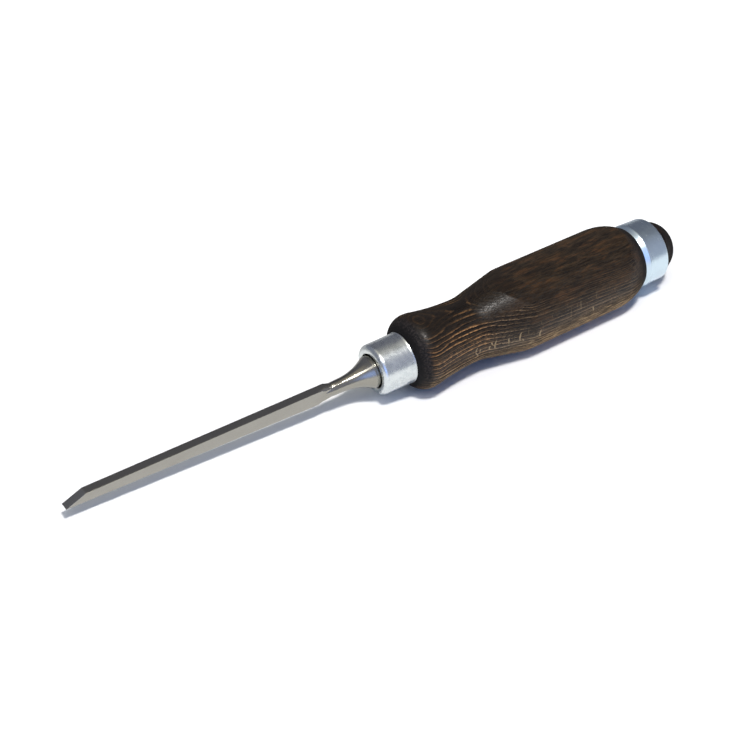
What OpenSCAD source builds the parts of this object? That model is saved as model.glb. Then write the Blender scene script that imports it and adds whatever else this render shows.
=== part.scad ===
// Narrow bench chisel with a turned wooden handle, a ferrule and a striking hoop.
// Lengths run from the cutting edge towards the butt, along the axis of the handle.

/* [Blade] */
// Cutting edge to the end of the flat back
blade_length = 96; // [60:1:140]
// Width across the cutting edge
blade_edge_width = 3.4; // [2:0.1:4]
// Width at the heel of the blade
blade_heel_width = 3.4; // [2:0.1:4]
// Thickness where the primary bevel meets the top face
blade_tip_thickness = 3.5; // [2:0.1:4.5]
// Height of the top face above the handle axis, at the heel
blade_heel_top = 2.8; // [2.5:0.05:3.4]
// Depth of the back below the handle axis, at the heel
blade_heel_back = 2.85; // [2.5:0.05:3.4]
// Height of the cutting edge above the handle axis
edge_rise = 0.55; // [0:0.05:1.5]
// Angle between the primary bevel and the back
bevel_angle = 25; // [20:1:35]

/* [Neck and bolster] */
// Length over which the flats of the blade run out into the round neck
runout_length = 9; // [6:0.5:14]
// Length over which the two upper edges run out, which begin later
upper_runout = 4.7; // [3:0.1:6]
// Depth of the run-out below the neck where it ends
runout_dip = 0.15; // [0.05:0.05:0.3]
// Length over which the round neck grows out of the sides of the blade
emerge_length = 5; // [3:0.5:6]
// Diameter of the neck at its thinnest
neck_d = 5.1; // [4.6:0.1:6]
// Length of the flare from the neck to the rim of the bolster
flare_length = 14.1; // [10:0.1:24]
// How late the flare opens
flare_power = 2.55; // [2:0.05:3.5]
// Diameter of the bolster's rim
bolster_d = 12.2; // [11:0.1:15]
// Length of the rim from the flare to the seat on the wood
bolster_land = 3; // [1.8:0.1:4]

/* [Tang] */
// Length of the tang behind the bolster
tang_length = 62; // [40:1:80]
// Side of the square tang at the bolster
tang_root = 5.4; // [4:0.1:7]
// Side of the square tang at its end
tang_end = 3; // [2:0.1:4]

/* [Ferrule] */
// Length of the ferrule
ferrule_length = 13.4; // [10:0.1:20]
// Outside diameter at the front
ferrule_front_d = 19.2; // [18.4:0.1:19.5]
// Outside diameter at the rear
ferrule_rear_d = 19.6; // [19:0.1:20]
// Thickness of the wall at the front
ferrule_wall = 1.2; // [0.8:0.1:1.6]
// Thickness of the in-turned lip
lip_thickness = 1.6; // [1:0.1:1.8]
// Radius of the rounded front edge
lip_round = 1.9; // [0.5:0.1:1.9]
// Gap between the bolster and the mouth of the lip
mouth_gap = 0.4; // [0.2:0.1:0.7]
// Radius of the rounded edge of the mouth
mouth_round = 0.6; // [0.2:0.1:0.8]

/* [Handle] */
// Diameter of the flat shoulder behind the ferrule
shoulder_d = 20.1; // [20:0.1:22]
// Greatest diameter of the bulb
bulb_d = 28.5; // [26:0.1:30]
// Shoulder to the crest of the bulb
bulb_front_length = 6.4; // [5:0.1:9]
// Radius of the bulb behind its crest
bulb_rear_radius = 14; // [8:0.5:30]
// Diameter of the waist
waist_d = 24.6; // [20:0.1:25]
// Crest of the bulb to the waist
bulb_to_waist = 20.7; // [14:0.1:28]
// Radius of the cove behind the waist
cove_radius = 18; // [10:1:40]
// Slope of the cone between the cove and the belly, in degrees
cone_angle = 11.6; // [9:0.1:20]
// Diameter at the front corner of the belly
belly_front_d = 32.8; // [31:0.1:36]
// Diameter at the rear end of the belly
belly_rear_d = 32.5; // [31:0.1:36]
// Length of the belly from its front corner to the rear rounding
belly_length = 42.4; // [30:0.1:60]
// Radius that softens the front corner of the belly
corner_radius = 20; // [5:1:40]
// Length of the rear rounding, from the belly to the hoop
rear_round_length = 12.9; // [9:0.1:18]

/* [Broad faces] */
// How far each broad face stands proud of the bulb, so that the handle lies on the face
face_proud = 0.05; // [0:0.01:0.5]
// Radius of the crown of each broad face
crown_radius = 21; // [18:0.5:40]
// Width of the flat strip along the middle of each broad face
strip_width = 7.4; // [4:0.1:9]

/* [Striking hoop and butt] */
// Length of the hoop
hoop_length = 11.1; // [8:0.1:16]
// Outside diameter of the hoop at the front
hoop_d = 25.3; // [24:0.1:27]
// Outside diameter of the hoop at the rear
hoop_rear_d = 24.7; // [24:0.1:27]
// Thickness of the hoop's wall at the front
hoop_wall = 2.1; // [1.7:0.05:2.5]
// Length of the bevel on the hoop's front edge
hoop_bevel_length = 2.2; // [1.5:0.1:3]
// Depth of the bevel on the hoop's front edge
hoop_bevel_depth = 1.2; // [0.4:0.1:1.4]
// Radius between the bevel and the outside of the hoop
hoop_edge_radius = 1; // [0.4:0.1:2]
// Chamfer on the hoop's rear edge
hoop_chamfer = 0.45; // [0.1:0.05:0.6]
// How far the wood lies below the hoop where they meet
hoop_step = 0.25; // [0.1:0.05:0.6]
// Height of the domed butt behind the hoop
butt_height = 9.5; // [4:0.1:12]

/* [Fits] */
// Radial clearance of the ferrule and the hoop on the wood
ring_clearance = 0.05; // [0.02:0.01:0.15]
// Clearance round the tang in its hole
tang_clearance = 0.1; // [0.05:0.05:0.3]

/* [Hidden] */
$fn = 96;

// Steps along one curved stretch of a turned profile
curve_steps = 12;
// Reach of a cutter past the material that it cuts
overcut = 2;
// Largest share of a wall that its rounded edge may take
round_share = 0.95;

neck_x = blade_length + runout_length;
bolster_x = neck_x + flare_length;
nose_x = bolster_x + bolster_land;
ferrule_x = nose_x - lip_thickness;
shoulder_x = ferrule_x + ferrule_length;
crest_x = shoulder_x + bulb_front_length;
waist_x = crest_x + bulb_to_waist;

neck_r = neck_d / 2;
bolster_r = bolster_d / 2;
bulb_r = bulb_d / 2;
waist_r = waist_d / 2;
belly_front_r = belly_front_d / 2;
belly_rear_r = belly_rear_d / 2;
hoop_r = hoop_d / 2;
hoop_bore_r = hoop_r - hoop_wall;
ferrule_bore_r = ferrule_front_d / 2 - ferrule_wall;

// The axis lies as high as a broad face is far from it.
axis_height = bulb_r + face_proud;
// The cone leaves the cove where the cove has turned by the cone's slope.
cone_x = waist_x + cove_radius * sin(cone_angle);
cone_r = waist_r + cove_radius * (1 - cos(cone_angle));
corner_x = cone_x + (belly_front_r - cone_r) / tan(cone_angle);
rear_x = corner_x + belly_length;
hoop_x = rear_x + rear_round_length;
butt_x = hoop_x + hoop_length;
overall_length = butt_x + butt_height;

// Radius of the arc that starts level and reaches a point dx further on and dr away.
function arc_radius(dx, dr) = (dx * dx + dr * dr) / (2 * dr);

// Points of an arc about [x, r] from one angle to another, in degrees.
// An arc that goes on from the end of the one before it leaves out its first point.
function arc(x, r, radius, from, to, goes_on = false) =
    [for (i = [goes_on ? 1 : 0 : curve_steps])
        let (a = from + (to - from) * i / curve_steps)
        [x + radius * cos(a), r + radius * sin(a)]];

// Solid turned about the handle axis from an outline of [x, r] points.
module turned(outline) {
    rotate([0, 90, 0])
        rotate_extrude()
            polygon([for (p = outline) [p[1], p[0]]]);
}

// Outline in the upright plane through the axis, as wide as w.
module side_slab(outline, w) {
    translate([0, w / 2, 0])
        rotate([90, 0, 0])
            linear_extrude(w)
                polygon(outline);
}

// Outline in the level plane through the axis, as high as h.
module plan_slab(outline, h) {
    translate([0, 0, -h / 2])
        linear_extrude(h)
            polygon(outline);
}

// Moves the chisel to its own frame: middle of its length, lying on a broad face.
module in_place() {
    translate([-overall_length / 2, 0, axis_height])
        children();
}

// Ground blade with plain sides, as far as the neck.
module blade_bar() {
    back_slope = (edge_rise + blade_heel_back) / blade_length;
    bevel_slope = bevel_angle - atan(back_slope);
    bevel_run = blade_tip_thickness / sin(bevel_angle);
    bevel_top = [bevel_run * cos(bevel_slope), edge_rise + bevel_run * sin(bevel_slope)];
    top_slope = (blade_heel_top - bevel_top[1]) / (blade_length - bevel_top[0]);
    side_slope = (blade_heel_width - blade_edge_width) / 2 / blade_length;
    neck_half_width = blade_heel_width / 2 + side_slope * runout_length;
    profile = [
        [0, edge_rise],
        [neck_x, -blade_heel_back - back_slope * runout_length],
        [neck_x, blade_heel_top + top_slope * runout_length],
        bevel_top
    ];
    plan = [
        [0, -blade_edge_width / 2],
        [neck_x, -neck_half_width],
        [neck_x, neck_half_width],
        [0, blade_edge_width / 2]
    ];
    intersection() {
        side_slab(profile, bolster_d);
        plan_slab(plan, bolster_d);
    }
}

// Turned envelope that lets edges of the blade run out into the neck over a length.
module runout_envelope(length) {
    heel_depth = max(blade_heel_back, blade_heel_top);
    heel_r = norm([blade_heel_width / 2, heel_depth]) + runout_dip;
    end_r = neck_r - runout_dip;
    radius = arc_radius(length, heel_r - end_r);
    turn = asin(length / radius);
    turned(concat(
        [[-overcut, 0], [-overcut, bolster_r], [neck_x - length, bolster_r]],
        arc(neck_x, end_r + radius, radius, -90 - turn, -90),
        [[neck_x, 0]]
    ));
}

// Round neck that grows out of the blade's sides and flares into the bolster.
module neck_and_bolster() {
    start_r = blade_heel_width / 2;
    radius = arc_radius(emerge_length, neck_r - start_r);
    turn = asin(emerge_length / radius);
    flare = [for (i = [1:2 * curve_steps])
        let (u = i / (2 * curve_steps))
        [neck_x + flare_length * u, neck_r + (bolster_r - neck_r) * pow(u, flare_power)]];
    turned(concat(
        [[neck_x - emerge_length, 0]],
        arc(neck_x, neck_r - radius, radius, 90 + turn, 90),
        flare,
        [[nose_x, bolster_r], [nose_x, 0]]
    ));
}

// Square tapered tang, grown by a clearance where it is used as the hole.
module tang(clearance, front_x) {
    root = tang_root / 2 + clearance;
    tip = tang_end / 2 + clearance;
    end_x = nose_x + tang_length + clearance;
    outline = [
        [front_x, -root],
        [nose_x, -root],
        [end_x, -tip],
        [end_x, tip],
        [nose_x, root],
        [front_x, root]
    ];
    intersection() {
        side_slab(outline, bolster_d);
        plan_slab(outline, bolster_d);
    }
}

module blade() {
    upper_half = [[-overcut, 0], [neck_x, 0], [neck_x, bolster_r], [-overcut, bolster_r]];
    color("gray")
        in_place() {
            intersection() {
                blade_bar();
                union() {
                    runout_envelope(runout_length);
                    intersection() {
                        runout_envelope(upper_runout);
                        side_slab(upper_half, bolster_d);
                    }
                }
            }
            neck_and_bolster();
            tang(0, bolster_x);
        }
}

module ferrule() {
    front_r = ferrule_front_d / 2;
    mouth_r = bolster_r + mouth_gap;
    edge_r = min(lip_round, round_share * (front_r - mouth_r - mouth_round));
    color("lightsteelblue")
        in_place()
            turned(concat(
                [[nose_x, mouth_r]],
                arc(ferrule_x + mouth_round, mouth_r + mouth_round, mouth_round, 270, 180),
                arc(ferrule_x + edge_r, front_r - edge_r, edge_r, 180, 90),
                [
                    [shoulder_x, ferrule_rear_d / 2],
                    [shoulder_x, ferrule_bore_r],
                    [nose_x, ferrule_bore_r]
                ]
            ));
}

// Outline of the handle from its nose to the top of its domed butt.
function handle_outline() =
    let (
        nose_r = ferrule_bore_r - ring_clearance,
        spigot_r = hoop_bore_r - ring_clearance,
        // Front of the bulb: one arc from the shoulder up to the crest
        front = arc_radius(bulb_front_length, bulb_r - shoulder_d / 2),
        front_turn = asin(bulb_front_length / front),
        // Rear of the bulb and waist: two arcs that share their tangent
        both = arc_radius(bulb_to_waist, bulb_r - waist_r),
        waist_radius = both - bulb_rear_radius,
        s_turn = asin(bulb_to_waist / both),
        // Softened front corner of the belly
        fall = atan((belly_front_r - belly_rear_r) / belly_length),
        corner_run = corner_radius * tan((cone_angle + fall) / 2),
        corner = [
            corner_x + corner_run * cos(fall) - corner_radius * sin(fall),
            belly_front_r - corner_run * sin(fall) - corner_radius * cos(fall)
        ],
        // Rear rounding: one arc from the belly down to the hoop
        rear = arc_radius(rear_round_length, belly_rear_r - hoop_r + hoop_step),
        rear_turn = asin(rear_round_length / rear)
    )
    concat(
        [[nose_x, 0], [nose_x, nose_r], [shoulder_x, nose_r]],
        arc(crest_x, bulb_r - front, front, 90 + front_turn, 90),
        arc(crest_x, bulb_r - bulb_rear_radius, bulb_rear_radius, 90, 90 - s_turn, true),
        arc(waist_x, waist_r + waist_radius, waist_radius, -90 - s_turn, -90, true),
        arc(waist_x, waist_r + cove_radius, cove_radius, -90, -90 + cone_angle, true),
        arc(corner[0], corner[1], corner_radius, 90 + cone_angle, 90 - fall),
        arc(rear_x, belly_rear_r - rear, rear, 90, 90 - rear_turn),
        [[hoop_x, spigot_r]],
        [for (i = [0:2 * curve_steps])
            let (a = 90 * i / (2 * curve_steps))
            [butt_x + butt_height * sin(a), spigot_r * cos(a)]]
    );

// Material above one crowned broad face, from the waist to the hoop.
module broad_face_waste() {
    crown_z = axis_height - sqrt(pow(crown_radius, 2) - pow(strip_width / 2, 2));
    reach = max(belly_front_r, belly_rear_r) + overcut;
    translate([waist_x, 0, 0])
        rotate([90, 0, 90])
            linear_extrude(hoop_x - waist_x)
                difference() {
                    translate([-reach, 0])
                        square([2 * reach, reach]);
                    intersection() {
                        translate([0, crown_z])
                            circle(crown_radius);
                        translate([-reach, -reach])
                            square([2 * reach, reach + axis_height]);
                    }
                }
}

module handle() {
    color("saddlebrown")
        in_place()
            difference() {
                turned(handle_outline());
                for (side = [0, 1])
                    mirror([0, 0, side])
                        broad_face_waste();
                tang(tang_clearance, nose_x - overcut);
            }
}

module striking_hoop() {
    rear_r = hoop_rear_d / 2;
    slope = atan(hoop_bevel_depth / hoop_bevel_length);
    edge_x = hoop_x + hoop_bevel_length + hoop_edge_radius * tan(slope / 2);
    color("silver")
        in_place()
            turned(concat(
                [[hoop_x, hoop_bore_r], [hoop_x, hoop_r - hoop_bevel_depth]],
                arc(edge_x, hoop_r - hoop_edge_radius, hoop_edge_radius, 90 + slope, 90),
                [
                    [butt_x - hoop_chamfer, rear_r],
                    [butt_x, rear_r - hoop_chamfer],
                    [butt_x, hoop_bore_r]
                ]
            ));
}

blade();
ferrule();
handle();
striking_hoop();
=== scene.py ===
"""Narrow bench chisel lying on a pale studio floor.

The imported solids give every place. Here the four pieces are worked out again as smooth surfaces:
the ground blade with its turned neck and tang, the ferrule, the turned wooden handle with its two
crowned broad faces, and the striking hoop. Lengths in the shape section are millimetres from the
cutting edge along the handle axis, and they become metres when a piece is placed.
"""
import math

import bpy
import numpy as np
from mathutils import Matrix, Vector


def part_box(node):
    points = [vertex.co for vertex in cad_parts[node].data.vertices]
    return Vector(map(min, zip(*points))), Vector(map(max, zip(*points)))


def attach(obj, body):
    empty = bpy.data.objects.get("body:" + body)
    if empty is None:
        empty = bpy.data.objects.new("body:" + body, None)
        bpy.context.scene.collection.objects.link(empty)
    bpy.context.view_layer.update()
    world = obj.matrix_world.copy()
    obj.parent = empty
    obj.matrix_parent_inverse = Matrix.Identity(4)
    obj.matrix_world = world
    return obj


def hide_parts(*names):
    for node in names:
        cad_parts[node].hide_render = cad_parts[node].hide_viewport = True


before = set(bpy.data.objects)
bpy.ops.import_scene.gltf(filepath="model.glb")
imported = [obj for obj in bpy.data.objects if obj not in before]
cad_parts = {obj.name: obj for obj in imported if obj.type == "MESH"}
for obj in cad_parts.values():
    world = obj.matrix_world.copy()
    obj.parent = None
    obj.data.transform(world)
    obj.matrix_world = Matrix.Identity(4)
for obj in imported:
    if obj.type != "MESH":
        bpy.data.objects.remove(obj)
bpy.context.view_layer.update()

MM = 0.001


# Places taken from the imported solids, in millimetres from the cutting edge
def node_span(node):
    """Lowest and highest corner of a CAD node, measured from the cutting edge and the handle axis."""
    low, high = (np.array(corner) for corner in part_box(node))
    return (low - ORIGIN) / MM, (high - ORIGIN) / MM


hoop_low, hoop_high = (np.array(corner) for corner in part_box("striking_hoop"))
ORIGIN = np.array([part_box("blade")[0][0], 0.0, (hoop_low[2] + hoop_high[2]) / 2])
FERRULE_X, SHOULDER_X = (corner[0] for corner in node_span("ferrule"))
FERRULE_REAR_R = node_span("ferrule")[1][2]
NOSE_X, END_X = (corner[0] for corner in node_span("handle"))
HOOP_X, BUTT_X = (corner[0] for corner in node_span("striking_hoop"))
HOOP_R = node_span("striking_hoop")[1][2]
BOLSTER_R = node_span("blade")[1][2]
TANG_END_X = node_span("blade")[1][0]
FACE_Z = node_span("handle")[1][2]

# Blade and neck
BLADE_LENGTH = 96.0
EDGE_HALF_WIDTH = 1.7
HEEL_HALF_WIDTH = 1.7
EDGE_RISE = 0.55
HEEL_TOP = 2.8
HEEL_BACK = 2.85
TIP_THICKNESS = 3.5
BEVEL_ANGLE = 25.0
EDGE_LAND = 0.03
EDGE_BREAK = 0.09
RUNOUT_LENGTH = 9.0
NECK_X = BLADE_LENGTH + RUNOUT_LENGTH
UPPER_RUNOUT = 4.7
RUNOUT_DIP = 0.15
EMERGE_LENGTH = 5.0
NECK_R = 2.55
FLARE_LENGTH = 14.1
FLARE_POWER = 2.55
TANG_ROOT = 2.7
TANG_TIP = 1.5
TANG_CLEARANCE = 0.1

# Ferrule and hoop
FERRULE_FRONT_R = 9.6
FERRULE_WALL = 1.2
LIP_ROUND = 1.9
MOUTH_GAP = 0.5
MOUTH_R = BOLSTER_R + MOUTH_GAP
MOUTH_ROUND = 0.4
RING_CLEARANCE = 0.05
REAR_BREAK = 0.22
RIM_ROUND = 2.1
RIM_ANGLE = 22.0
HOOP_REAR_R = 12.35
HOOP_WALL = 2.1
HOOP_BEVEL_LENGTH = 2.2
HOOP_BEVEL_DEPTH = 1.2
HOOP_EDGE_RADIUS = 1.0
HOOP_BREAK = 0.45
HOOP_STEP = 0.25

# Handle
SHOULDER_R = 10.05
BULB_R = 14.25
BULB_FRONT = 6.4
BULB_REAR_RADIUS = 14.0
WAIST_R = 12.3
BULB_TO_WAIST = 20.7
COVE_RADIUS = 18.0
CONE_ANGLE = 11.6
BELLY_FRONT_R = 16.4
BELLY_REAR_R = 16.25
BELLY_LENGTH = 42.4
CORNER_RADIUS = 20.0
CROWN_RADIUS = 21.0
STRIP_HALF_WIDTH = 3.7
FACE_BLEND = 0.07

# Points round a turned ring and round the tang, and rings along the tang
AROUND = 288
TANG_AROUND = 64
TANG_STEPS = 12
# Places of the first rings of the blade, and the distance of rings from the bevel's rear line
TIP_X = (0.0, 0.15, 0.6)
CREASE = 0.05
# Largest share of the blade's thickness that a broken edge takes
BREAK_SHARE = 0.45
# Lengths below this count as nothing
NOTHING = 1e-6


# Turned outlines
def arc(x, r, radius, start, end, steps):
    """Points about [x, r] from one angle to another, in degrees."""
    a = np.radians(np.linspace(start, end, steps + 1))
    return np.stack([x + radius * np.cos(a), r + radius * np.sin(a)], axis=1)


def line(x0, r0, x1, r1, steps):
    """Points of a straight stretch."""
    return np.linspace([x0, r0], [x1, r1], steps + 1)


def outline(*stretches):
    """Stretches joined end to end, with a point that repeats the one before it left out."""
    points = np.concatenate(stretches)
    new = np.linalg.norm(np.diff(points, axis=0), axis=1) > NOTHING
    return points[np.concatenate([[True], new])]


def arc_radius(dx, dr):
    """Radius of the arc that starts level and reaches a point dx further on and dr away."""
    return (dx * dx + dr * dr) / (2 * dr)


def turns(around=AROUND):
    """Angles about the handle axis, evenly spaced."""
    return np.linspace(0, 2 * np.pi, around, endpoint=False)


def rings(points):
    """Circles about the handle axis, one for each [x, r] point of an outline."""
    a = turns()
    x, r = points[:, :1], points[:, 1:]
    return np.stack([x + 0 * a, r * np.cos(a), r * np.sin(a)], axis=2)


# Surfaces to meshes
def closed_shell(grid):
    """Vertices and faces of rings in a row, with a point in the middle of each end ring closing it."""
    rows, columns = grid.shape[:2]
    index = np.arange(rows * columns).reshape(rows, columns)
    after = np.roll(index, -1, axis=1)
    quads = np.stack([index[:-1], after[:-1], after[1:], index[1:]], axis=2).reshape(-1, 4)
    first = np.full(columns, rows * columns)
    caps = [np.stack([first, after[0], index[0]], axis=1),
            np.stack([first + 1, index[-1], after[-1]], axis=1)]
    vertices = np.concatenate([grid.reshape(-1, 3), grid[[0, -1]].mean(axis=1)])
    return vertices, [quads, np.concatenate(caps)]


def ring_shell(grid):
    """Vertices and faces of rings whose last one joins the first, as on a ferrule or a hoop."""
    rows, columns = grid.shape[:2]
    index = np.arange(rows * columns).reshape(rows, columns)
    after = np.roll(index, -1, axis=1)
    below, below_after = np.roll(index, -1, axis=0), np.roll(after, -1, axis=0)
    quads = np.stack([index, after, below_after, below], axis=2).reshape(-1, 4)
    return grid.reshape(-1, 3), [quads]


def place(name, node, finish, shells, sharp=40.0, attributes=None):
    """Joins shells into one mesh in the CAD frame, in the place of its CAD node."""
    vertices, corners, sides, start = [], [], [], 0
    for points, polygons in shells:
        vertices.append(points)
        corners += [(start + polygon).reshape(-1) for polygon in polygons]
        sides += [np.full(len(polygon), polygon.shape[1]) for polygon in polygons]
        start += len(points)
    corners, sides = np.concatenate(corners), np.concatenate(sides)
    mesh = bpy.data.meshes.new(name)
    mesh.vertices.add(start)
    places = np.concatenate(vertices) * MM + ORIGIN
    mesh.vertices.foreach_set("co", places.astype(np.float32).reshape(-1))
    mesh.loops.add(len(corners))
    mesh.loops.foreach_set("vertex_index", corners.astype(np.int32))
    mesh.polygons.add(len(sides))
    mesh.polygons.foreach_set("loop_start", (np.cumsum(sides) - sides).astype(np.int32))
    mesh.update(calc_edges=True)
    mesh.validate()
    mesh.polygons.foreach_set("use_smooth", np.ones(len(mesh.polygons), dtype=bool))
    mesh.set_sharp_from_angle(angle=math.radians(sharp))
    for key, values in (attributes or {}).items():
        made = mesh.attributes.new(key, "FLOAT", "POINT")
        made.data.foreach_set("value", values.astype(np.float32))
    mesh.materials.append(finish)
    piece = bpy.data.objects.new(name, mesh)
    bpy.context.scene.collection.objects.link(piece)
    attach(piece, "root")
    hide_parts(node)


# Blade
def blade_bar():
    """Straight-sided bar: a rounded rectangle whose back, top and sides are straight lines along x.

    The primary bevel cuts the top near the edge. Past the heel every point is drawn in to a turned
    envelope, an arc about the axis, so that the four edges run out into the neck. The envelope of the
    far upper edge begins later, and between the two upper edges one envelope passes into the other.
    """
    back_slope = (EDGE_RISE + HEEL_BACK) / BLADE_LENGTH
    bevel = math.radians(BEVEL_ANGLE) - math.atan(back_slope)
    run = TIP_THICKNESS / math.sin(math.radians(BEVEL_ANGLE))
    bevel_x, bevel_z = run * math.cos(bevel), EDGE_RISE + run * math.sin(bevel)
    x = np.concatenate([
        TIP_X[:2],
        np.linspace(TIP_X[2], bevel_x - CREASE, 8),
        np.linspace(bevel_x + CREASE, BLADE_LENGTH, 40),
        np.linspace(BLADE_LENGTH, NECK_X, 37)[1:],
    ])
    back = EDGE_RISE - back_slope * x
    top = HEEL_TOP + (bevel_z - HEEL_TOP) * (BLADE_LENGTH - x) / (BLADE_LENGTH - bevel_x)
    top = np.minimum(top, EDGE_RISE + EDGE_LAND + x * math.tan(bevel))
    half = EDGE_HALF_WIDTH + (HEEL_HALF_WIDTH - EDGE_HALF_WIDTH) * x / BLADE_LENGTH
    soft = np.minimum(EDGE_BREAK, BREAK_SHARE * (top - back))
    corner_turns = np.radians(np.linspace(0, 90, 5))
    face_steps = np.linspace(0, 1, 9)[1:-1]
    ring = []
    for turn, (side_y, side_z) in enumerate([(1, 1), (-1, 1), (-1, -1), (1, -1)]):
        a = corner_turns + turn * np.pi / 2
        y0 = side_y * (half - soft)
        z0 = np.where(side_z > 0, top - soft, back + soft)
        ring.append(np.stack([y0[:, None] + soft[:, None] * np.cos(a),
                              z0[:, None] + soft[:, None] * np.sin(a)], axis=2))
    loop = []
    for corner, following in zip(ring, ring[1:] + ring[:1]):
        loop.append(corner)
        step = face_steps[None, :, None]
        loop.append(corner[:, -1:] * (1 - step) + following[:, :1] * step)
    loop = np.concatenate(loop, axis=1)
    heel_r = math.hypot(HEEL_HALF_WIDTH, HEEL_BACK) + RUNOUT_DIP
    end_r = NECK_R - RUNOUT_DIP
    limits = []
    for length in (RUNOUT_LENGTH, UPPER_RUNOUT):
        radius = arc_radius(length, heel_r - end_r)
        envelope = end_r + radius - np.sqrt(radius ** 2 - np.minimum(NECK_X - x, length) ** 2)
        limits.append(envelope[:, None])
    far = np.clip(0.5 + 0.5 * loop[:, :, 0] / half[:, None], 0, 1)
    late = np.where(loop[:, :, 1] > 0, far, 0)
    limit = limits[0] + (limits[1] - limits[0]) * late
    limit = np.where(x[:, None] < BLADE_LENGTH, np.inf, limit)
    reach = np.linalg.norm(loop, axis=2)
    loop = loop * np.minimum(1, limit / reach)[:, :, None]
    return np.concatenate([np.broadcast_to(x[:, None, None], loop.shape[:2] + (1,)), loop], axis=2)


def neck_outline():
    """Neck and bolster: an arc out of the blade's sides, a flare whose radius grows as a power, a land."""
    radius = arc_radius(EMERGE_LENGTH, NECK_R - HEEL_HALF_WIDTH)
    turn = math.degrees(math.asin(EMERGE_LENGTH / radius))
    u = np.linspace(0, 1, 61)
    flare_r = NECK_R + (BOLSTER_R - NECK_R) * u ** FLARE_POWER
    flare = np.stack([NECK_X + FLARE_LENGTH * u, flare_r], axis=1)
    return outline(
        arc(NECK_X, NECK_R - radius, radius, 90 + turn, 90, 24),
        flare,
        line(NECK_X + FLARE_LENGTH, BOLSTER_R, NOSE_X, BOLSTER_R, 2),
        line(NOSE_X, BOLSTER_R, NOSE_X, TANG_ROOT, 2),
    )


def square_rings(x, half, around):
    """Squares about the handle axis in polar form: the half side over the larger of cosine and sine."""
    a = turns(around)
    r = half[:, None] / np.maximum(np.abs(np.cos(a)), np.abs(np.sin(a)))
    return np.stack([x[:, None] + 0 * a, r * np.cos(a), r * np.sin(a)], axis=2)


def tang_rings(clearance, around):
    """Square taper from the bolster to the end of the tang, grown by a clearance for the hole."""
    x = np.linspace(NOSE_X, TANG_END_X + clearance, TANG_STEPS)
    half = np.linspace(TANG_ROOT, TANG_TIP, TANG_STEPS) + clearance
    return square_rings(x, half, around)


# Ferrule and hoop
def ferrule_outline():
    """Cup with an in-turned lip and a nearly straight wall.

    The mouth and the front edge are rounded by arcs, and an arc flares the rear rim faintly.
    """
    bore = FERRULE_FRONT_R - FERRULE_WALL
    rim_x = SHOULDER_X - REAR_BREAK - RIM_ROUND * math.sin(math.radians(RIM_ANGLE))
    rim_r = FERRULE_REAR_R - RIM_ROUND * (1 - math.cos(math.radians(RIM_ANGLE)))
    return outline(
        line(NOSE_X, MOUTH_R, FERRULE_X + MOUTH_ROUND, MOUTH_R, 3),
        arc(FERRULE_X + MOUTH_ROUND, MOUTH_R + MOUTH_ROUND, MOUTH_ROUND, 270, 180, 10),
        arc(FERRULE_X + LIP_ROUND, FERRULE_FRONT_R - LIP_ROUND, LIP_ROUND, 180, 90, 20),
        line(FERRULE_X + LIP_ROUND, FERRULE_FRONT_R, rim_x, rim_r, 24),
        arc(rim_x, rim_r + RIM_ROUND, RIM_ROUND, 270, 270 + RIM_ANGLE, 10),
        arc(SHOULDER_X - REAR_BREAK, FERRULE_REAR_R - REAR_BREAK, REAR_BREAK, 90, 0, 6),
        line(SHOULDER_X, FERRULE_REAR_R - REAR_BREAK, SHOULDER_X, bore, 2),
        line(SHOULDER_X, bore, NOSE_X, bore, 6),
    )


def hoop_outline():
    """Slightly conical ring: bevelled front edge with a small round, rear edge broken by an arc."""
    bore = HOOP_R - HOOP_WALL
    slope = math.atan2(HOOP_BEVEL_DEPTH, HOOP_BEVEL_LENGTH)
    edge_x = HOOP_X + HOOP_BEVEL_LENGTH + HOOP_EDGE_RADIUS * math.tan(slope / 2)
    edge = arc(edge_x, HOOP_R - HOOP_EDGE_RADIUS, HOOP_EDGE_RADIUS, 90 + math.degrees(slope), 90, 16)
    return outline(
        line(HOOP_X, bore, HOOP_X, HOOP_R - HOOP_BEVEL_DEPTH, 2),
        line(HOOP_X, HOOP_R - HOOP_BEVEL_DEPTH, *edge[0], 8),
        edge,
        line(edge_x, HOOP_R, BUTT_X - HOOP_BREAK, HOOP_REAR_R, 20),
        arc(BUTT_X - HOOP_BREAK, HOOP_REAR_R - HOOP_BREAK, HOOP_BREAK, 90, 0, 8),
        line(BUTT_X, HOOP_REAR_R - HOOP_BREAK, BUTT_X, bore, 2),
        line(BUTT_X, bore, HOOP_X, bore, 6)[:-1],
    )


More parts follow.
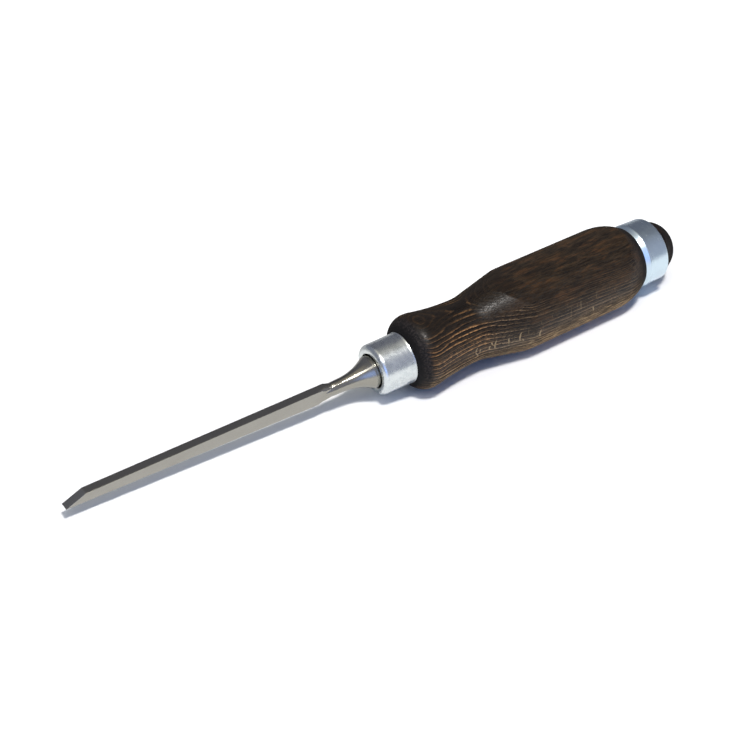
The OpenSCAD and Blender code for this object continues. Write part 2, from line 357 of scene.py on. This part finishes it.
# Handle
def handle_outline():
    """Turned profile from the shoulder behind the ferrule to the top of the domed butt.

    Bulb, waist, cove, cone, belly and rear rounding are arcs and straight stretches that share
    their tangents, apart from the soft corner of the belly, and the butt is a quarter ellipse.
    """
    crest_x = SHOULDER_X + BULB_FRONT
    waist_x = crest_x + BULB_TO_WAIST
    front = arc_radius(BULB_FRONT, BULB_R - SHOULDER_R)
    front_turn = math.degrees(math.asin(BULB_FRONT / front))
    both = arc_radius(BULB_TO_WAIST, BULB_R - WAIST_R)
    waist_radius = both - BULB_REAR_RADIUS
    s_turn = math.degrees(math.asin(BULB_TO_WAIST / both))
    slope = math.radians(CONE_ANGLE)
    cone = np.array([waist_x + COVE_RADIUS * math.sin(slope),
                     WAIST_R + COVE_RADIUS * (1 - math.cos(slope))])
    corner = np.array([cone[0] + (BELLY_FRONT_R - cone[1]) / math.tan(slope), BELLY_FRONT_R])
    fall = math.atan((BELLY_FRONT_R - BELLY_REAR_R) / BELLY_LENGTH)
    run = CORNER_RADIUS * math.tan((slope + fall) / 2)
    centre = corner + run * np.array([math.cos(fall), -math.sin(fall)])
    centre = centre - CORNER_RADIUS * np.array([math.sin(fall), math.cos(fall)])
    soft = arc(*centre, CORNER_RADIUS, 90 + CONE_ANGLE, 90 - math.degrees(fall), 14)
    rear_x = corner[0] + BELLY_LENGTH
    rear = arc_radius(HOOP_X - rear_x, BELLY_REAR_R - HOOP_R + HOOP_STEP)
    rear_turn = math.degrees(math.asin((HOOP_X - rear_x) / rear))
    spigot_r = HOOP_R - HOOP_WALL - RING_CLEARANCE
    a = np.radians(np.linspace(0, 89, 26))
    dome = np.stack([BUTT_X + (END_X - BUTT_X) * np.sin(a), spigot_r * np.cos(a)], axis=1)
    return outline(
        arc(crest_x, BULB_R - front, front, 90 + front_turn, 90, 30),
        arc(crest_x, BULB_R - BULB_REAR_RADIUS, BULB_REAR_RADIUS, 90, 90 - s_turn, 14),
        arc(waist_x, WAIST_R + waist_radius, waist_radius, -90 - s_turn, -90, 34),
        arc(waist_x, WAIST_R + COVE_RADIUS, COVE_RADIUS, -90, -90 + CONE_ANGLE, 14),
        line(*cone, *soft[0], 46),
        soft,
        line(*soft[-1], rear_x, BELLY_REAR_R, 44),
        arc(rear_x, BELLY_REAR_R - rear, rear, 90, 90 - rear_turn, 30),
        line(HOOP_X, HOOP_R - HOOP_STEP, HOOP_X, spigot_r, 2),
        line(HOOP_X, spigot_r, BUTT_X, spigot_r, 3),
        dome,
    )


def crowned_reach():
    """Polar distance from the axis to the crowned faces: a wide circle cut by the level strip."""
    a = turns()
    rise = np.abs(np.sin(a))
    centre_z = FACE_Z - math.sqrt(CROWN_RADIUS ** 2 - STRIP_HALF_WIDTH ** 2)
    circle = centre_z * rise + np.sqrt(CROWN_RADIUS ** 2 - (centre_z * np.cos(a)) ** 2)
    strip = FACE_Z / np.maximum(rise, NOTHING)
    return smooth_least(circle, strip, FACE_BLEND)


def smooth_least(a, b, width):
    """The lesser of two values, rounded where they come within a width of each other."""
    h = np.clip(0.5 + 0.5 * (b - a) / width, 0, 1)
    return b * (1 - h) + a * h - width * h * (1 - h)


def handle_rings():
    """Turned rings drawn in to the crowned faces, led in by the tang hole and the ferrule's seat."""
    body = handle_outline()
    a = turns()
    reach = crowned_reach()
    waist_x = SHOULDER_X + BULB_FRONT + BULB_TO_WAIST
    r = np.broadcast_to(body[:, 1:], (len(body), AROUND))
    planed = (body[:, :1] > waist_x) & (body[:, :1] < HOOP_X - NOTHING)
    r = np.where(planed, smooth_least(r, reach[None, :], FACE_BLEND), r)
    outside = np.stack([np.broadcast_to(body[:, :1], r.shape), r * np.cos(a), r * np.sin(a)], axis=2)
    nose_r = FERRULE_FRONT_R - FERRULE_WALL - RING_CLEARANCE
    seat = rings(outline(line(NOSE_X, nose_r, SHOULDER_X, nose_r, 4)))
    hole = tang_rings(TANG_CLEARANCE, AROUND)[::-1]
    return np.concatenate([hole, seat, outside])


def cut_of(grid):
    """How the surface cuts the wood: the shares of its normal along the fibres and upright."""
    along = np.gradient(grid, axis=0)
    around = np.roll(grid, -1, axis=1) - np.roll(grid, 1, axis=1)
    normal = np.cross(around, along)
    normal /= np.maximum(np.linalg.norm(normal, axis=2, keepdims=True), NOTHING)
    share = np.abs(normal)
    share = np.concatenate([share.reshape(-1, 3), share[[0, -1]].mean(axis=1)])
    return {"end_grain": share[:, 0], "flat_grain": share[:, 2]}


# Finishes written as expressions
class Signal:
    """An output socket of a finish. Arithmetic on signals adds Math nodes to the same finish."""

    def __init__(self, finish, socket):
        self.finish = finish
        self.socket = socket

    def math(self, operation, *values):
        return self.finish.node("ShaderNodeMath", {"operation": operation}, dict(enumerate(values)))

    def __add__(self, other):
        return self.math("ADD", self, other)

    def __radd__(self, other):
        return self.math("ADD", other, self)

    def __sub__(self, other):
        return self.math("SUBTRACT", self, other)

    def __rsub__(self, other):
        return self.math("SUBTRACT", other, self)

    def __mul__(self, other):
        return self.math("MULTIPLY", self, other)

    def __rmul__(self, other):
        return self.math("MULTIPLY", other, self)

    def __pow__(self, other):
        return self.math("POWER", self, other)

    def __abs__(self):
        return self.math("ABSOLUTE", self)

    def most(self, other):
        return self.math("MAXIMUM", self, other)

    def part(self):
        return self.math("FRACT", self)

    def whole(self):
        return self.math("FLOOR", self)


class Finish:
    """A material, or the surroundings, whose nodes are added by expressions."""

    def __init__(self, owner):
        self.owner = owner
        owner.use_nodes = True
        self.tree = owner.node_tree
        self.tree.nodes.clear()

    def node(self, kind, settings=None, sockets=None, out=0):
        """Adds a node, makes its settings, fills its sockets with values or links, gives an output."""
        made = self.tree.nodes.new(kind)
        for key, value in (settings or {}).items():
            setattr(made, key, value)
        for key, value in (sockets or {}).items():
            if isinstance(value, Signal):
                self.tree.links.new(value.socket, made.inputs[key])
            else:
                made.inputs[key].default_value = value
        return Signal(self, made.outputs[out]) if made.outputs else None

    def place_mm(self):
        """Object coordinates in millimetres from the cutting edge and the handle axis: x, y and z."""
        at = self.node("ShaderNodeTexCoord", out="Object")
        at = self.node("ShaderNodeMapping", {"vector_type": "POINT"}, {
            "Vector": at, "Location": tuple(-ORIGIN / MM), "Scale": (1 / MM,) * 3})
        return [self.node("ShaderNodeSeparateXYZ", sockets={0: at}, out=i) for i in range(3)]

    def attribute(self, name):
        """Value that the mesh carries at each vertex."""
        return self.node("ShaderNodeAttribute", {"attribute_name": name}, out="Fac")

    def vector(self, x, y, z):
        return self.node("ShaderNodeCombineXYZ", sockets={0: x, 1: y, 2: z})

    def noise(self, x, y, z, detail=2.0, rough=0.5):
        """Noise at a place, from about 0 to 1 round a middle of 0.5."""
        return self.node("ShaderNodeTexNoise", {"noise_dimensions": "3D"}, {
            "Vector": self.vector(x, y, z), "Scale": 1.0, "Detail": detail, "Roughness": rough})

    def step(self, value, low, high):
        """Smooth step from 0 at low to 1 at high."""
        return self.node("ShaderNodeMapRange", {"interpolation_type": "SMOOTHSTEP"}, {
            "Value": value, "From Min": low, "From Max": high, "To Min": 0.0, "To Max": 1.0})

    def blend(self, factor, first, second):
        """Colour between two colours."""
        return self.node("ShaderNodeMix", {"data_type": "RGBA"},
                         {0: factor, 6: first, 7: second}, out=2)

    def bump(self, height, strength, distance):
        """Normal of a surface with small heights on it. The distance is in metres."""
        return self.node("ShaderNodeBump", sockets={"Height": height, "Strength": strength,
                                                   "Distance": distance})

    def surface(self, **sockets):
        """Ends the finish with one shader, whose sockets are named with underscores for spaces."""
        shader = self.node("ShaderNodeBsdfPrincipled",
                           sockets={key.replace("_", " "): value for key, value in sockets.items()})
        self.node("ShaderNodeOutputMaterial", sockets={"Surface": shader})
        return self.owner


def tone(red, green, blue):
    """A colour given as it looks on a screen, from 0 to 255, as the linear colour a shader takes."""
    c = np.array([red, green, blue]) / 255
    c = np.where(c <= 0.04045, c / 12.92, ((c + 0.055) / 1.055) ** 2.4)
    return (*c.tolist(), 1.0)


# Growth rings lie as nearly level sheets, bowed across the handle and falling towards the butt.
RING_BOW = 0.008
RING_FALL = 0.04
RING_SWAY = 1.2
LEVEL_X = 150.0
RINGS_PER_MM = 0.6
FIRST_RING = 0.20
# Heights above which the rings get finer, slowly and then at once
FINE_LEVEL = 3.0
FINE_GROWTH = 0.0244
FINEST_LEVEL = 11.9
# Stretches of the handle over which the wood's look changes
BULB_GLOSS = (146.0, 158.0)
SOAK = (150.0, 215.0)
WAIST_BEGINS = (151.0, 157.0)
WAIST_ENDS = (159.0, 165.0)
CROWN_BEGINS = (158.0, 168.0)
REAR_BEGINS = (159.0, 170.0)
BROW_ENDS = (164.0, 204.0)
BELLY_BEGINS = (168.0, 188.0)
COLLAR_BEGINS = (HOOP_X - 4.5, HOOP_X - 1.5)
# Stains of the wood, its ring lines and its flecks. The lighter underside tones are painted bounce light
# from the floor, and the collar's near black is partly darker wood and partly painted shade of the joint
# with the hoop
FIBRE_STAINS = (tone(13, 10, 8), tone(70, 56, 41))
BOUNCE_LIT_FIBRE_STAINS = (tone(68, 54, 39), tone(158, 131, 97))
DARK_CLOUD, WARM_CLOUD = tone(17, 12, 10), tone(92, 62, 38)
DARK_STREAK, LIGHT_STREAK = tone(30, 26, 23), tone(206, 172, 124)
RUSSET = tone(82, 58, 34)
BROW_STAIN = tone(20, 16, 13)
UNDERSIDE_BOUNCE_LIGHT = tone(170, 144, 108)
LATE_WOOD = tone(12, 10, 9)
FRONT_THREAD, REAR_THREAD = tone(186, 138, 90), tone(170, 140, 106)
BOUNCE_LIT_THREAD = tone(232, 202, 158)
SILVER = tone(170, 146, 110)
SOAK_STAINS = (tone(11, 11, 14), tone(30, 23, 18))
SOAK_SPECK = tone(58, 52, 50)
END_STAIN = tone(14, 12, 12)
COLLAR_STAIN_AND_SHADE = tone(16, 12, 11)
# Silver flecks on the near side: place along the handle, height, half length, lean and bow
RAY_FLECKS = (
    (157.9, 0.6, 1.0, 0.45, 0.10), (158.2, -1.6, 1.3, -0.60, 0.05), (159.6, -0.4, 0.9, 0.20, 0.00),
    (163.6, -1.0, 1.0, 0.15, 0.30), (164.6, 0.6, 0.8, -0.40, 0.10), (165.8, -0.2, 2.3, 0.12, 0.10),
    (171.2, -0.2, 1.7, -0.05, 0.04), (175.6, 0.2, 2.4, 0.10, 0.12), (177.0, -1.6, 0.6, -0.50, 0.00),
    (183.8, -0.9, 1.9, 0.06, 0.16), (209.0, -0.8, 1.3, -0.20, -0.10),
)


def stained_wood():
    """Dark stained ring-porous wood, solid through the handle.

    A ring begins with a thin light line of open pores and fades into dark late wood. The rings are
    wide in the heart of the handle and fine under its upper face. Fibres and short pores run along x.
    Where the turning cuts across the fibres the wood has drunk more stain.
    """
    f = Finish(bpy.data.materials.new("stained_wood"))
    x, y, z = f.place_mm()
    down = z * -1
    end_grain = f.attribute("end_grain")
    sheet = f.attribute("flat_grain")

    # Growth rings: place within a ring, light early line, dark late wood, and thin lines between
    sway = f.noise(x * 0.03, y * 0.06, z * 0.06) - 0.5
    level = z + y * y * RING_BOW + (x - LEVEL_X) * RING_FALL + sway * RING_SWAY
    fine = (level - FINE_LEVEL).most(0.0)
    ring = level * RINGS_PER_MM + fine * fine * FINE_GROWTH
    ring = ring + (level - FINEST_LEVEL).most(0.0) + FIRST_RING
    ring = ring + (f.noise(x * 0.25, y * 1.8, z * 1.8, detail=3.0) - 0.5) * 0.34
    ring = ring + (f.noise(x * 0.045, y * 0.4, z * 0.4, detail=1.0) - 0.5) * 0.9
    along = ring.part()
    lively = f.step(f.noise(x * 0.035, ring.whole() * 7.31, 1.9, detail=1.0), 0.30, 0.65)
    early = f.step(along, 0.0, 0.07) * (1 - f.step(along, 0.07, 0.22 + 0.18 * lively))
    late = f.step(along, 0.50, 0.92)
    thin = (ring * 2.7 + sway).part()
    thin = f.step(thin, 0.0, 0.2) * (1 - f.step(thin, 0.2, 0.6)) * (1 - f.step(level, 5.0, 8.0))
    thin = thin * (1 - 0.75 * f.step(down, -4.0, 4.0))

    # Fibres, pores and patches
    fibre = f.noise(x * 0.15, y * 2.8, z * 2.8, detail=5.0, rough=0.75)
    speck = f.noise(x * 1.2, y * 1.5, z * 1.5, detail=3.0, rough=0.65)
    pores = f.step(f.noise(x * 0.36, y * 3.1, z * 3.1), 0.52, 0.60)
    dashes = f.step(f.noise(x * 0.9, y * 2.4, z * 2.4), 0.38, 0.60)
    patch = f.noise(x * 0.05, y * 0.22, z * 0.22, detail=3.0)
    cloud = f.noise(x * 0.12, y * 0.5, z * 0.5, detail=3.0, rough=0.6)
    streak = f.noise(x * 0.22, y * 1.3, z * 1.3, detail=3.0, rough=0.65)

    # Where on the handle a look holds, and how the surface cuts the fibres and the ring sheets
    rear = f.step(x, *REAR_BEGINS)
    belly = f.step(x, *BELLY_BEGINS)
    waist = f.step(x, *WAIST_BEGINS) * (1 - f.step(x, *WAIST_ENDS))
    low = f.step(down, -1.0, 6.0)
    across = f.step(end_grain + (fibre - 0.5) * 0.55 + (dashes - 0.5) * 0.10, 0.18, 0.54)
    across = across * (1 - 0.45 * f.step(down, 1.0, 10.0))
    square = f.step(end_grain, 0.60, 0.85)
    crown = f.step(sheet + (patch - 0.5) * 0.2, 0.58, 0.72) * f.step(x, *CROWN_BEGINS)
    plain = crown.most(f.step(sheet, 0.70, 0.90) * (1 - 0.35 * waist))
    plain = plain.most(0.65 * f.step(level, 6.5, 9.5) * belly)

    # Ground colour
    ground = f.blend(f.step(fibre, 0.34, 0.66), *FIBRE_STAINS)
    warm = f.step(patch, 0.48, 0.72) * (0.15 + 0.25 * f.step(sheet, 0.55, 0.85))
    ground = f.blend(warm, ground, RUSSET)
    brow = f.step(sheet, 0.60, 0.90) * (1 - f.step(x, *BROW_ENDS))
    ground = f.blend(brow * 0.74, ground, BROW_STAIN)
    ground = f.blend(f.step(sheet, 0.40, 0.65) * belly * 0.22, ground, BROW_STAIN)
    ground = f.blend(f.step(cloud, 0.48, 0.66) * belly * 0.5, ground, DARK_CLOUD)
    ground = f.blend(f.step(0.5 - cloud, 0.0, 0.16) * belly * 0.35, ground, WARM_CLOUD)
    # Painted light: towards the underside the ground turns lighter and paler, painted in for the light
    # bounced up from the floor
    below = f.blend(f.step(fibre, 0.34, 0.66), *BOUNCE_LIT_FIBRE_STAINS)
    ground = f.blend(f.step(down, -3.0, 9.0) * (0.40 + 0.50 * belly), ground, below)
    ground = f.blend(f.step(down, 2.0, 11.0) * belly * 0.5, ground, UNDERSIDE_BOUNCE_LIGHT)
    streaky = low * (0.2 + 0.5 * belly)
    ground = f.blend(f.step(streak, 0.50, 0.64) * streaky, ground, LIGHT_STREAK)
    ground = f.blend(f.step(0.5 - streak, 0.0, 0.14) * streaky, ground, DARK_STREAK)
    ground = f.blend(pores * 0.6, ground, LATE_WOOD)
    dark = late * (0.95 - 0.15 * belly - 0.40 * belly * low) * (1 - plain)
    ground = f.blend(dark, ground, LATE_WOOD)

    # Light ring lines, broken into dashes
    dotted = 0.70 + 0.22 * rear - 0.35 * belly
    strength = (0.25 + 0.75 * lively) * (1 - dotted + dotted * dashes)
    strength = strength * (1 - 0.15 * rear - 0.35 * belly)
    strength = strength * (1 + low * (0.8 - 1.1 * belly))
    lines = early.most(thin * 0.42 * dashes) * strength * (1 - 0.9 * across)
    lines = lines * (1 - 0.92 * plain)
    thread = f.blend(rear, FRONT_THREAD, REAR_THREAD)
    # Painted light: the ring lines turn paler towards the underside, painted in for the floor's bounce
    # light
    thread = f.blend(f.step(down, -1.0, 8.0) * 0.8, thread, BOUNCE_LIT_THREAD)
    colour = f.blend(lines, ground, thread)

    # Silver flecks
    flecks = f.step(f.noise(x * 1.3, y * 0.3, z * 0.16, detail=1.0), 0.66, 0.74) * 0.18
    wander = (f.noise(x * 0.15, y * 0.3, z * 0.7) - 0.5) * 0.3
    near_side = f.step(y * -1, 6.0, 9.0)
    for at, height, half, lean, bow in RAY_FLECKS:
        rise = z - height
        stroke = 1 - f.step(abs(x - at - rise * lean - rise * rise * bow + wander), 0.12, 0.40)
        flecks = flecks.most(stroke * (1 - f.step(abs(rise), half * 0.5, half)) * near_side)
    flecks = flecks * (0.5 + 0.5 * dashes) * (1 - f.step(sheet, 0.25, 0.45)) * (1 - across)
    colour = f.blend(flecks, colour, SILVER)

    # Wood cut across its fibres, the butt, and the collar in front of the hoop; the collar's darkening is
    # partly darker wood and partly painted shade of the joint
    soaked = f.blend(f.step(x, *SOAK), *SOAK_STAINS)
    soaked = f.blend(f.step(speck, 0.44, 0.64) * 0.7, soaked, SOAK_SPECK)
    colour = f.blend(across * 0.9, colour, soaked)
    colour = f.blend(square, colour, END_STAIN)
    # Painted shade: the collar darkens almost to black where the wood meets the hoop, on wood that is
    # darker there too
    colour = f.blend(f.step(x, *COLLAR_BEGINS) * 0.8, colour, COLLAR_STAIN_AND_SHADE)

    # Gloss, which is lost where the surface is seen at a slant
    rough = 0.18 + 0.12 * fibre + 0.14 * pores + 0.34 * across
    rough = rough + 0.07 * (1 - f.step(x, *BULB_GLOSS))
    slant = f.step(f.node("ShaderNodeLayerWeight", sockets={"Blend": 0.5}, out="Facing"), 0.30, 0.70)
    rough = rough + (0.95 - rough) * slant
    hollow = 0.6 * pores + 0.4 * early
    return f.surface(Base_Color=colour, Roughness=rough, Specular_IOR_Level=0.18,
                     Normal=f.bump(1 - hollow, 0.35, 0.00010))


# Stretches over which the blade's grinding ends and the hoop's bevel passes into its wall
NECK_BEGINS = (BLADE_LENGTH + 1.0, BLADE_LENGTH + 7.0)
WALL_BEGINS = (HOOP_X + 1.8, HOOP_X + 3.2)


def ground_steel():
    """Tool steel: the blade ground with fine lines across it, the neck turned and polished."""
    f = Finish(bpy.data.materials.new("ground_steel"))
    x, y, z = f.place_mm()
    lines = f.noise(x * 9.0, y * 0.5, z * 0.5, detail=3.0, rough=0.6)
    cloud = f.noise(x * 0.12, y * 0.3, z * 0.3, detail=3.0)
    neck = f.step(x, *NECK_BEGINS)
    colour = f.blend(cloud, tone(150, 147, 138), tone(162, 159, 150))
    colour = f.blend(neck * 0.6, colour, tone(146, 143, 132))
    turned = f.noise(x * 24.0, y * 0.05, z * 0.05, detail=1.0)
    rough = (0.18 + 0.09 * lines) * (1 - neck) + (0.19 + 0.03 * cloud) * neck
    marks = lines * 0.1 * (1 - neck) + turned * neck
    return f.surface(Base_Color=colour, Metallic=1.0, Roughness=rough,
                     Normal=f.bump(marks, 1.0, 0.000018))


def plated_steel():
    """Satin plated steel of the ferrule, with a faint mottle and drawing marks along it."""
    f = Finish(bpy.data.materials.new("plated_steel"))
    x, y, z = f.place_mm()
    mottle = f.noise(x * 0.5, y * 0.5, z * 0.5, detail=4.0, rough=0.6)
    drawn = f.noise(x * 0.25, y * 3.0, z * 3.0, detail=3.0)
    grain = f.noise(x * 2.0, y * 2.0, z * 2.0, detail=3.0, rough=0.6)
    colour = f.blend(f.step(mottle, 0.3, 0.7), tone(199, 205, 204), tone(217, 221, 219))
    colour = f.blend(f.step(grain, 0.45, 0.75) * 0.5, colour, tone(186, 192, 196))
    rough = 0.18 + 0.10 * mottle + 0.04 * drawn + 0.06 * grain
    return f.surface(Base_Color=colour, Metallic=1.0, Roughness=rough,
                     Normal=f.bump(drawn + mottle + grain, 0.16, 0.00005))


def bright_steel():
    """Bright drawn steel of the striking hoop, faintly blue, with fine turning lines round it."""
    f = Finish(bpy.data.materials.new("bright_steel"))
    x, y, z = f.place_mm()
    turned = f.noise(x * 6.0, y * 0.05, z * 0.05, detail=3.0)
    mottle = f.noise(x * 0.35, y * 0.35, z * 0.35, detail=3.0)
    colour = f.blend(mottle, tone(197, 213, 222), tone(206, 222, 229))
    bevel = 1 - f.step(x, *WALL_BEGINS)
    rough = 0.19 + 0.08 * mottle + 0.05 * turned + 0.08 * bevel
    return f.surface(Base_Color=colour, Metallic=1.0, Roughness=rough,
                     Normal=f.bump(turned, 0.8, 0.00004))


# Pieces
wood_grid = handle_rings()
place("handle_wood", "handle", stained_wood(), [closed_shell(wood_grid)],
      sharp=50.0, attributes=cut_of(wood_grid))
place("blade_forging", "blade", ground_steel(),
      [closed_shell(blade_bar()), closed_shell(rings(neck_outline())),
       closed_shell(tang_rings(0.0, TANG_AROUND))],
      sharp=30.0)
place("ferrule_cup", "ferrule", plated_steel(), [ring_shell(rings(ferrule_outline()))])
place("hoop_ring", "striking_hoop", bright_steel(), [ring_shell(rings(hoop_outline()))])


# Floor, light and camera
BLACK = (0.0, 0.0, 0.0, 1.0)
WHITE = (1.0, 1.0, 1.0, 1.0)
PAPER = (0.95, 0.95, 0.95, 1.0)
DULL_PAPER = (0.30, 0.30, 0.31, 1.0)
# Glow of the paper, and the distances from the part's axis over which it sets in
FLOOR_LIFT = 0.16
LIFT_BEGINS = (18.0, 30.0)
MIRRORED_LIFT = 0.4
FAR_LIFT = 0.84
FAR_LIFT_BEGINS = (200.0, 1200.0)
# Share of dull paper that the metal mirrors, and the distances behind the axis over which it sets in
DULL_SHARE = 0.75
DULL_BEGINS = (15.0, 45.0)
# The paper rises gently under the blade: a slope, and a soft lead of some millimetres up to it
FLOOR_REACH = 4000.0
FLOOR_RISE = 0.054
RISE_FROM_X, RISE_TO_X = 136.0, -30.0
FLOOR_LEAD = 2.4
LEAD_FROM_X = 141.0
LEAD_LENGTH = 30.0
# First and last edge of the strips that the floor has where it isn't level, and their count
FLOOR_EDGES = (-40.0, 142.0, 92)

# The room's light on dull surfaces
FAR_FILL = (0.39, 0.395, 0.375, 1.0)
NEAR_FILL = (0.09, 0.19, 0.46, 1.0)
# What the metal mirrors of the room, and the directions in which one part of it passes into another
FAR_ROOM = (0.155, 0.160, 0.198, 1.0)
BLADE_ROOM = (0.24, 0.255, 0.32, 1.0)
NEAR_ROOM = (0.44, 0.46, 0.56, 1.0)
BLADE_ROOM_ENDS = (-0.2, 0.3)
NEAR_ROOM_ENDS = (-0.75, 0.15)
WINDOW = (-0.478, -0.795, 0.375)
WINDOW_BEGINS = (0.90, 0.985)
WINDOW_LIGHT = (0.80, 1.10, 2.1, 1.0)
OVERHEAD = (0.05, 0.20, 0.98)
OVERHEAD_BEGINS = (0.85, 1.0)
OVERHEAD_LIGHT = (0.62, 0.59, 0.53, 1.0)

# The frame is 755 pixels square and the lens is 1700 of those pixels long.
FRAME_PIXELS = 755
LENS_PIXELS = 1700
CAMERA_ELEVATION = math.radians(41.04)
CAMERA_SWING = math.radians(33.85)
CAMERA_ROLL = math.radians(-0.339)
CAMERA_DISTANCE = 0.6013
CLIP_START = 0.01
AIM = ORIGIN + np.array([120.36, -4.12, 0.14]) * MM


def paper_finish():
    """Pale paper that reads as white to the camera and in the metal, and still takes the shadow.

    The metal mirrors the paper behind the part duller.
    """
    f = Finish(bpy.data.materials.new("pale_floor"))
    seen = f.node("ShaderNodeLightPath", out="Is Camera Ray")
    mirrored = f.node("ShaderNodeLightPath", out="Is Glossy Ray")
    through = f.node("ShaderNodeLightPath", out="Is Transmission Ray")
    x, y = f.place_mm()[:2]
    beyond = (abs(x - 0.5 * END_X) - 0.5 * END_X).most(0.0)
    distance = (beyond * beyond + y * y) ** 0.5
    lift = FLOOR_LIFT * f.step(distance, *LIFT_BEGINS)
    lift = lift * seen.most(MIRRORED_LIFT * mirrored).most(through)
    lift = lift + FAR_LIFT * f.step(distance, *FAR_LIFT_BEGINS) * seen
    paper = f.node("ShaderNodeBsdfDiffuse", sockets={"Color": PAPER})
    glow = f.node("ShaderNodeEmission", sockets={"Color": f.blend(lift, BLACK, WHITE)})
    both = f.node("ShaderNodeAddShader", sockets={0: paper, 1: glow})
    dull = f.node("ShaderNodeBsdfDiffuse", sockets={"Color": DULL_PAPER})
    behind = DULL_SHARE * mirrored * f.step(y, *DULL_BEGINS)
    both = f.node("ShaderNodeMixShader", sockets={0: behind, 1: both, 2: dull})
    f.node("ShaderNodeOutputMaterial", sockets={"Surface": both})
    return f.owner


def studio_floor():
    """Floor of paper, level under the handle.

    Under the blade its height is a straight slope plus a smooth step, which leads up to the slope.
    """
    along = np.concatenate([[-FLOOR_REACH], np.linspace(*FLOOR_EDGES), [FLOOR_REACH]])
    height = FLOOR_RISE * np.clip(RISE_FROM_X - np.maximum(along, RISE_TO_X), 0, None)
    lead = np.clip((LEAD_FROM_X - along) / LEAD_LENGTH, 0, 1)
    height = height + FLOOR_LEAD * lead ** 2 * (3 - 2 * lead)
    edges = [np.stack([along, side + 0 * along, height], axis=1)
             for side in (-FLOOR_REACH, FLOOR_REACH)]
    floor_points = np.concatenate(edges) * MM + np.array([ORIGIN[0], 0.0, 0.0])
    count = np.arange(len(along) - 1)
    strips = np.stack([count, count + 1, count + 1 + len(along), count + len(along)], axis=1)
    mesh = bpy.data.meshes.new("studio_floor")
    mesh.from_pydata(floor_points.tolist(), [], strips.tolist())
    mesh.materials.append(paper_finish())
    floor = bpy.data.objects.new("studio_floor", mesh)
    bpy.context.scene.collection.objects.link(floor)


def facing(back, at, across):
    """Matrix that stands at a point with its back along a direction and its right side near another."""
    right = np.array(across) - back * np.dot(across, back)
    right /= np.linalg.norm(right)
    up = np.cross(back, right)
    matrix = np.eye(4)
    matrix[:3] = np.stack([right, up, back, at], axis=1)
    return Matrix(matrix.tolist())


def lamp(name, at, length, width, power, colour):
    """Soft lamp at a place measured from the camera's aim and facing it, its length along the handle."""
    data = bpy.data.lights.new(name, "AREA")
    data.shape = "RECTANGLE"
    data.size = length
    data.size_y = width
    data.energy = power
    data.color = colour
    made = bpy.data.objects.new(name, data)
    made.matrix_world = facing(np.array(at) / np.linalg.norm(at), AIM + at, (1.0, 0.0, 0.0))
    bpy.context.scene.collection.objects.link(made)


def room():
    """Plain studio surroundings, which the camera sees as white.

    The metal mirrors dark grey beyond the part, lighter greys at the blade's end and on the near side,
    a blue window and a pale glow overhead. Dull surfaces get a plain fill, blue on the near side.
    """
    f = Finish(bpy.data.worlds.new("studio_room"))
    bpy.context.scene.world = f.owner
    towards = f.node("ShaderNodeTexCoord", out="Generated")
    x, y, z = (f.node("ShaderNodeSeparateXYZ", sockets={0: towards}, out=i) for i in range(3))
    near = 1 - f.step(y, *NEAR_ROOM_ENDS)
    colour = f.blend(f.step(x, *BLADE_ROOM_ENDS), BLADE_ROOM, FAR_ROOM)
    colour = f.blend(near, colour, NEAR_ROOM)
    fill = f.blend(near, FAR_FILL, NEAR_FILL)
    window = f.step(x * WINDOW[0] + y * WINDOW[1] + z * WINDOW[2], *WINDOW_BEGINS)
    colour = f.blend(window, colour, WINDOW_LIGHT)
    overhead = f.step(x * OVERHEAD[0] + y * OVERHEAD[1] + z * OVERHEAD[2], *OVERHEAD_BEGINS)
    colour = f.blend(overhead, colour, OVERHEAD_LIGHT)
    mirrored = f.node("ShaderNodeLightPath", out="Is Glossy Ray")
    colour = f.blend(mirrored, fill, colour)
    seen = f.node("ShaderNodeLightPath", out="Is Camera Ray")
    colour = f.blend(seen, colour, WHITE)
    light = f.node("ShaderNodeBackground", sockets={"Color": colour})
    f.node("ShaderNodeOutputWorld", sockets={"Surface": light})


def studio_camera():
    """Camera on the near side of the blade, at the photograph's height, swing and roll."""
    level = math.cos(CAMERA_ELEVATION)
    back = np.array([-math.sin(CAMERA_SWING) * level, -math.cos(CAMERA_SWING) * level,
                     math.sin(CAMERA_ELEVATION)])
    right = np.array([math.cos(CAMERA_SWING), -math.sin(CAMERA_SWING), 0.0])
    across = right * math.cos(CAMERA_ROLL) + np.cross(back, right) * math.sin(CAMERA_ROLL)
    data = bpy.data.cameras.new("studio_camera")
    data.sensor_fit = "HORIZONTAL"
    data.lens = data.sensor_width * LENS_PIXELS / FRAME_PIXELS
    data.clip_start = CLIP_START
    camera = bpy.data.objects.new("studio_camera", data)
    camera.matrix_world = facing(back, AIM + CAMERA_DISTANCE * back, across)
    bpy.context.scene.collection.objects.link(camera)
    bpy.context.scene.camera = camera


studio_floor()
room()
lamp("key_lamp", at=(0.02, -0.43, 1.6), length=0.20, width=0.20, power=21.0,
     colour=(1.0, 0.97, 0.93))
lamp("long_strip", at=(-0.22, -0.30, 1.0), length=1.25, width=0.20, power=2.5,
     colour=(1.0, 0.99, 0.98))
studio_camera()
bpy.context.scene.view_settings.view_transform = "Standard"
